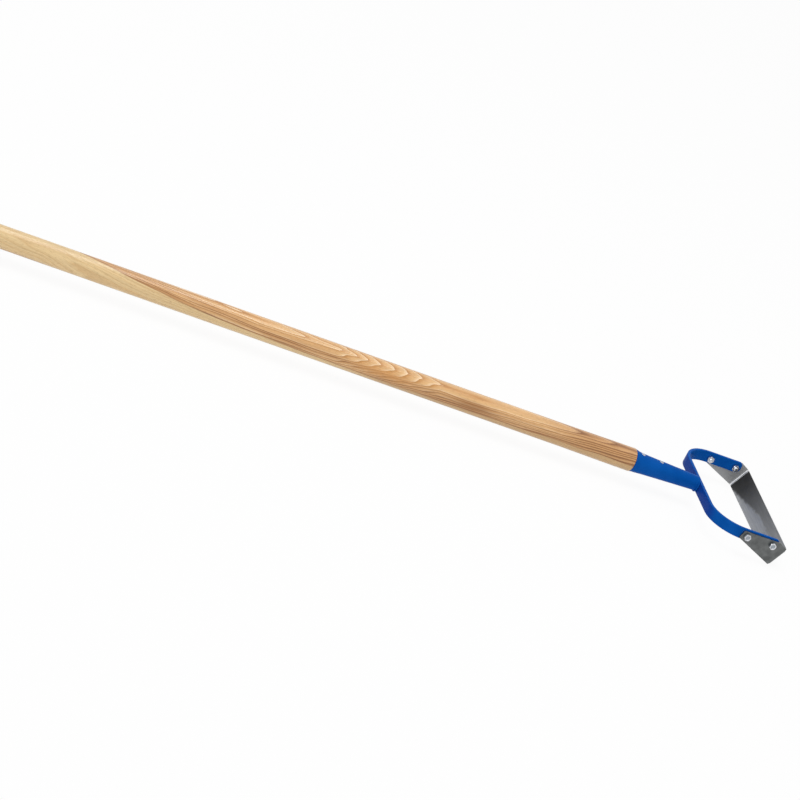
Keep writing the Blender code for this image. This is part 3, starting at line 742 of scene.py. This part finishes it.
# The ears are duller inside than the blade, and the bending tool polished the inside of the folds
on_ear = add_node(tree, "MapRange", {
    "Value": sideways, "From Min": ear_y - EAR_STARTS[0], "From Max": ear_y - EAR_STARTS[1],
})
inner = add_node(tree, "Mix", {0: on_ear, 6: inner, 7: linear("#A6A7A8")}, data_type="RGBA")
bare = add_node(tree, "Math", {0: unfolded, 1: on_ear}, operation="ADD")
inner = add_node(tree, "Mix", {0: bare, 6: linear("#F2F2F2"), 7: inner}, data_type="RGBA")

outward = add_node(tree, "VectorMath", {0: strip, 1: INSIDE_LOOP}, operation="SUBTRACT")
outward = add_node(tree, "VectorMath", {0: outward, 1: coords["Normal"]}, operation="DOT_PRODUCT")
is_outer = add_node(tree, "MapRange", {"Value": outward, "From Min": -1.0, "From Max": 1.0})
grey = add_node(tree, "Mix", {0: is_outer, 6: inner, 7: rolled}, data_type="RGBA")

# The grinding wheel cut through the rolled skin along both front edges
front = add_node(tree, "VectorMath", {0: strip, 1: tuple(forward)}, operation="DOT_PRODUCT")
front = add_node(tree, "MapRange", {"Value": front, "From Min": 0.2, "From Max": 0.4})
from_middle = add_node(tree, "Math", {0: height, 1: BLADE_WIDTH / 2}, operation="SUBTRACT")
from_middle = add_node(tree, "Math", {0: from_middle}, operation="ABSOLUTE")
skin_edge = BLADE_WIDTH / 2 - GROUND_WIDTH
ground = add_node(tree, "MapRange", {
    "Value": from_middle, "From Min": skin_edge - 0.1, "From Max": skin_edge + 0.1,
})
ground = add_node(tree, "Math", {0: ground, 1: front}, operation="MULTIPLY")
grey = add_node(tree, "Mix", {0: ground, 6: grey, 7: bright}, data_type="RGBA")
tree.links.new(grey.outputs[2], shader.inputs["Base Color"])
rough = add_node(tree, "MapRange", {
    "Value": clouds, "From Min": 0.3, "From Max": 0.7, "To Min": 0.3, "To Max": 0.42,
})
rough = add_node(tree, "Math", {0: painted_dark_reflection, 1: 0.22, 2: rough}, operation="MULTIPLY_ADD")
dull = add_node(tree, "Math", {0: on_ear, 1: is_outer}, operation="SUBTRACT", use_clamp=True)
rough = add_node(tree, "Math", {0: dull, 1: 0.3, 2: rough}, operation="MULTIPLY_ADD")
tree.links.new(rough.outputs[0], shader.inputs["Roughness"])
scratched = add_node(tree, "Math", {0: lines, 1: unfolded}, operation="MULTIPLY")
bump = add_node(tree, "Bump", {"Height": scratched, "Strength": 0.15, "Distance": 0.03 * MM})
tree.links.new(bump.outputs[0], shader.inputs["Normal"])
shader.inputs["Metallic"].default_value = 1.0

bpy.ops.object.select_all(action="DESELECT")
bpy.ops.mesh.primitive_plane_add(size=1.0)
blade = bpy.context.object
blade.name = "folded_blade"
blade.scale = (BLADE_WIDTH * MM, 2 * fold_y * MM, 1.0)
put(blade, on_blade(0, BLADE_WIDTH / 2, 0), (0, BLADE_LEAN - math.pi / 2, 0))
bpy.ops.object.mode_set(mode="EDIT")
for across_strip in (GROUND_WIDTH, BLADE_WIDTH - GROUND_WIDTH):
    bpy.ops.mesh.select_all(action="SELECT")
    bpy.ops.mesh.bisect(plane_co=spot(*on_blade(0, across_strip, 0)), plane_no=lean_up)

# Each ear leaves the strip square to it. Its top edge goes on that way up to a crest, then level to
# the tail, and its lower edge runs straight to the tail.
ear_top = bolt_z + EAR_TOP
fold_low = on_blade(-FOLD_RADIUS, 0, ear_y)
fold_top = on_blade(-FOLD_RADIUS, BLADE_WIDTH, ear_y)
tail_low = Vector((bolt_xs[0] - EAR_LOW_TAIL, ear_y, bolt_z - EAR_LOW))
tail_top = Vector((bolt_xs[0] - EAR_TOP_TAIL, ear_y, ear_top))
crest_low = fold_low.lerp(tail_low, CREST_SHARE)
crest_top = Vector((fold_top.x - (ear_top - fold_top.z) / math.tan(BLADE_LEAN), ear_y, ear_top))
ground_share = GROUND_WIDTH / BLADE_WIDTH
for side in (-1, 1):
    select(lambda x, y, z: y * side > fold_y - 0.1, "EDGE")
    centre = on_blade(-FOLD_RADIUS, 0, side * fold_y)
    bpy.ops.mesh.spin(steps=10, angle=-side * math.pi / 2, axis=lean_up, center=spot(*centre))
    for low, top in ((crest_low, crest_top), (tail_low, tail_top)):
        bpy.ops.mesh.extrude_region_move(TRANSFORM_OT_translate={"value": (0, 0, 0)})
        mesh = bmesh.from_edit_mesh(blade.data)
        column = sorted((v for v in mesh.verts if v.select), key=lambda v: v.co.z)
        for vert, share in zip(column, (0, ground_share, 1 - ground_share, 1)):
            vert.co = spot(*low.lerp(top, share) * Vector((1, side, 1)))
        bmesh.update_edit_mesh(blade.data)
for corner, radius in ((tail_low, EAR_LOW_ROUND), (tail_top, EAR_TOP_ROUND)):
    select(lambda x, y, z: math.dist((x, z), corner.xz) < 0.01)
    bpy.ops.mesh.bevel(offset=radius * MM, segments=8, affect="VERTICES")
bpy.ops.object.mode_set(mode="OBJECT")
wall = blade.modifiers.new("strip thickness", "SOLIDIFY")
wall.thickness, wall.offset, wall.use_even_offset = BLADE_THICKNESS * MM, -1.0, True
bpy.ops.object.modifier_apply(modifier=wall.name)
ease_edges(blade, BLADE_EDGE_ROUND, segments=2, angle=35)

# The grinder takes the front of both long edges down, and runs out round the folds
for vert in blade.data.vertices:
    point = (vert.co - spot(0, 0, 0)) / MM - Vector((HEEL[0], 0, HEEL[1]))
    depth, rise = point.dot(forward), point.dot(lean_up)
    past_fold = max(abs(point.y) - fold_y, 0)
    away = Vector((depth + FOLD_RADIUS, past_fold))
    on_edge = min(abs(rise), abs(rise - BLADE_WIDTH)) < 0.2
    on_front = away.length > FOLD_RADIUS + BLADE_THICKNESS - 0.2
    if on_edge and on_front and depth > -FOLD_RADIUS + 0.01:
        share = away.x / away.length
        inward = forward * away.x + Vector((0, math.copysign(past_fold, point.y), 0))
        vert.co -= inward.normalized() * GROUND_DEPTH * share * MM
drill(blade, BOLT_HOLE, 8, ear_y)
finish(blade, steel, "blade_steel", "blade", smooth=20)


# Bolts and nuts
# Four M5 hexagon bolts of zinc-plated steel, cold-headed with a dished top, go through the ears and
# arms from outside. A plain hexagon nut holds each on the inside, with the thread's end through it.

FLATS = 8.0
HEAD = 3.6
DISH_RADIUS = 2.8
DISH_DEPTH = 0.8
NUT = 4.0
BORE_CHAMFER = 0.32  # how deep the nut's bore is countersunk
THREAD_RADIUS = 2.5
THREAD_LENGTH = 7.5
THREAD_DEPTH = 0.42
PITCH = 0.8
TIP_CHAMFER = 0.7
RING_STEP = 0.08  # between the rings of the thread's mesh
FASTENER_EDGE_ROUND = 0.08
CORNER = FLATS / math.sqrt(3)
BLANK_RADIUS = CORNER + 0.3
FACE_RADIUS = FLATS / 2 - 0.1  # of the flat that the blank's chamfer leaves
CHAMFER_DROP = (BLANK_RADIUS - FACE_RADIUS) * math.tan(math.radians(30))

head_y = bolt_top_y - HEAD
tip_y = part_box("bolt_left_1")[0].y / MM
nut_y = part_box("nut_left_1")[0].y / MM
shank_length = head_y - tip_y
thread_start = shank_length - THREAD_LENGTH


def hexagon(name, height, blank):
    """A hexagon as high as its turned blank, which rounds off its corners. It starts out longer than
    the blank, because faces in one plane make the cut unreliable."""
    bpy.ops.object.select_all(action="DESELECT")
    bpy.ops.mesh.primitive_cylinder_add(
        vertices=6, radius=CORNER * MM, depth=(height + 2) * MM, location=(0, 0, height / 2 * MM)
    )
    piece = bpy.context.object
    piece.name = name
    bpy.ops.object.transform_apply(location=True, rotation=True, scale=True)
    boolean(piece, blank, "INTERSECT")
    return piece


def made_bolt():
    """One bolt, its head standing on z = 0 and its thread pointing down."""
    blank = turned("blank", [
        (0, BLANK_RADIUS), (HEAD - CHAMFER_DROP, BLANK_RADIUS), (HEAD, FACE_RADIUS),
        (HEAD, DISH_RADIUS), (HEAD - 0.15, DISH_RADIUS - 0.12),
        (HEAD - DISH_DEPTH, DISH_RADIUS - 0.45), (HEAD - DISH_DEPTH - 0.05, 0.8),
    ], 72)
    head = hexagon("bolt", HEAD, blank)
    tip = [
        (TIP_CHAMFER * i / 6 - shank_length, THREAD_RADIUS - TIP_CHAMFER + TIP_CHAMFER * i / 6)
        for i in range(6)
    ]
    tip_end = TIP_CHAMFER - shank_length
    count = int(THREAD_LENGTH / RING_STEP)
    thread = [
        (tip_end + (THREAD_LENGTH - TIP_CHAMFER) * i / count, THREAD_RADIUS) for i in range(count + 1)
    ]
    shank = turned("shank", [*tip, *thread, (0.9, THREAD_RADIUS)], 40)
    for vert in shank.data.vertices:
        height = vert.co.z / MM
        if height < -thread_start:
            winding = (height / PITCH - math.atan2(vert.co.y, vert.co.x) / (2 * math.pi)) % 1.0
            groove = THREAD_DEPTH * (0.5 + 0.5 * math.cos(2 * math.pi * winding))
            groove *= min(1.0, (-thread_start - height) / PITCH)
            reach = vert.co.xy.length
            vert.co.xy *= min(reach, (THREAD_RADIUS - groove) * MM) / reach
    boolean(head, shank, "UNION")
    return head


def made_nut():
    """One nut standing on z = 0, its bore just clear of the bolt's thread."""
    blank = turned("blank", [
        (0, FACE_RADIUS), (CHAMFER_DROP, BLANK_RADIUS),
        (NUT - CHAMFER_DROP, BLANK_RADIUS), (NUT, FACE_RADIUS),
    ], 72)
    nut = hexagon("nut", NUT, blank)
    mouth, bore = THREAD_RADIUS + 0.45, THREAD_RADIUS + 0.03
    reamer = turned("reamer", [
        (-0.1, mouth), (BORE_CHAMFER, bore), (NUT - BORE_CHAMFER, bore), (NUT + 0.1, mouth),
    ], 48)
    boolean(nut, reamer)
    return nut


for make, kind, height in ((made_bolt, "bolt", head_y), (made_nut, "nut", nut_y)):
    pattern = make()
    ease_edges(pattern, FASTENER_EDGE_ROUND, segments=2, angle=28)
    for side, sign in (("left", 1), ("right", -1)):
        for number, x in enumerate(bolt_xs, 1):
            piece = pattern.copy()
            piece.data = pattern.data.copy()
            piece.name = f"m5_{kind}_{side}_{number}"
            bpy.context.collection.objects.link(piece)
            spanner = math.radians(17 + 23 * number + 9 * sign)
            piece.data.transform(Matrix.Rotation(spanner, 4, "Z"))
            put(piece, (x, sign * height, bolt_z), (-sign * math.pi / 2, 0, 0))
            finish(piece, zinc, "zinc_plate", f"{kind}_{side}_{number}", smooth=25)
    bpy.data.objects.remove(pattern)


# Studio
# The tool lies on a wide white floor under soft boxes. The camera has a long lens, low at the tool's
# right side, and is rolled as in the photograph.

WHITE = (1.0, 1.0, 1.0, 1.0)
PAPER_SHARE = 0.93  # of plain white where the floor is seen, so that its shadow still shows
AMBIENT = 0.45  # how much of the white surroundings lights the tool, beside the lamps
LAMPS_AIM = Vector((0.4, 0, 0))  # in metres, on the floor under the handle
VIEWPOINT = (-3942.7, -8222.1, 3446.9)  # in mm from the socket's mouth
VIEW_TURN = (66.267, -26.398, -12.780)  # degrees
VIEW_LENS = 360.0

bpy.ops.object.select_all(action="DESELECT")
bpy.ops.mesh.primitive_plane_add(size=60.0)
floor = bpy.context.object
floor.name = "floor"
paper = bpy.data.materials.new("white_paper")
paper.use_nodes = True
tree = paper.node_tree
tree.nodes.clear()
matt = add_node(tree, "BsdfDiffuse", {"Color": (0.9, 0.9, 0.9, 1.0)})
glow = add_node(tree, "Emission", {"Color": WHITE, "Strength": 1.0})
path = add_node(tree, "LightPath").outputs
seen = add_node(tree, "Math", {0: path["Is Camera Ray"], 1: path["Is Glossy Ray"]}, operation="MAXIMUM")
seen = add_node(tree, "Math", {0: seen, 1: path["Is Transmission Ray"]}, operation="MAXIMUM")
share = add_node(tree, "Math", {0: seen, 1: PAPER_SHARE}, operation="MULTIPLY")
blend = add_node(tree, "MixShader", {0: share, 1: matt, 2: glow})
add_node(tree, "OutputMaterial", {"Surface": blend})
floor.data.materials.append(paper)

world = bpy.data.worlds.new("studio")
bpy.context.scene.world = world
world.use_nodes = True
tree = world.node_tree
tree.nodes.clear()
path = add_node(tree, "LightPath").outputs
seen = add_node(tree, "Math", {0: path["Is Camera Ray"], 1: path["Is Glossy Ray"]}, operation="MAXIMUM")
seen = add_node(tree, "Math", {0: seen, 1: path["Is Transmission Ray"]}, operation="MAXIMUM")
ambient = add_node(tree, "Math", {0: seen, 1: 1 - AMBIENT, 2: AMBIENT}, operation="MULTIPLY_ADD")
back = add_node(tree, "Background", {"Color": WHITE, "Strength": ambient})
add_node(tree, "OutputWorld", {"Surface": back})


def soft_box(name, place, size, power):
    """A square lamp at a place in metres, turned to the lamps' aim."""
    light = bpy.data.lights.new(name, "AREA")
    light.shape, light.size, light.energy = "SQUARE", size, power
    lamp = bpy.data.objects.new(name, light)
    bpy.context.collection.objects.link(lamp)
    lamp.location = place
    lamp.rotation_euler = (LAMPS_AIM - lamp.location).to_track_quat("-Z", "Y").to_euler()


soft_box("top_box", (0.3, 0.2, 3.0), 2.0, 48)
soft_box("side_box", (-1.6, -3.6, 1.9), 2.0, 42)
soft_box("low_box", (-3.0, -2.4, 1.0), 0.7, 6)

camera_data = bpy.data.cameras.new("camera")
camera_data.lens, camera_data.sensor_width = VIEW_LENS, 36.0
camera_data.clip_end = 100.0
camera = bpy.data.objects.new("camera", camera_data)
bpy.context.collection.objects.link(camera)
camera.location = spot(*VIEWPOINT)
camera.rotation_euler = [math.radians(turn) for turn in VIEW_TURN]
bpy.context.scene.camera = camera
bpy.context.scene.view_settings.view_transform = "Standard"
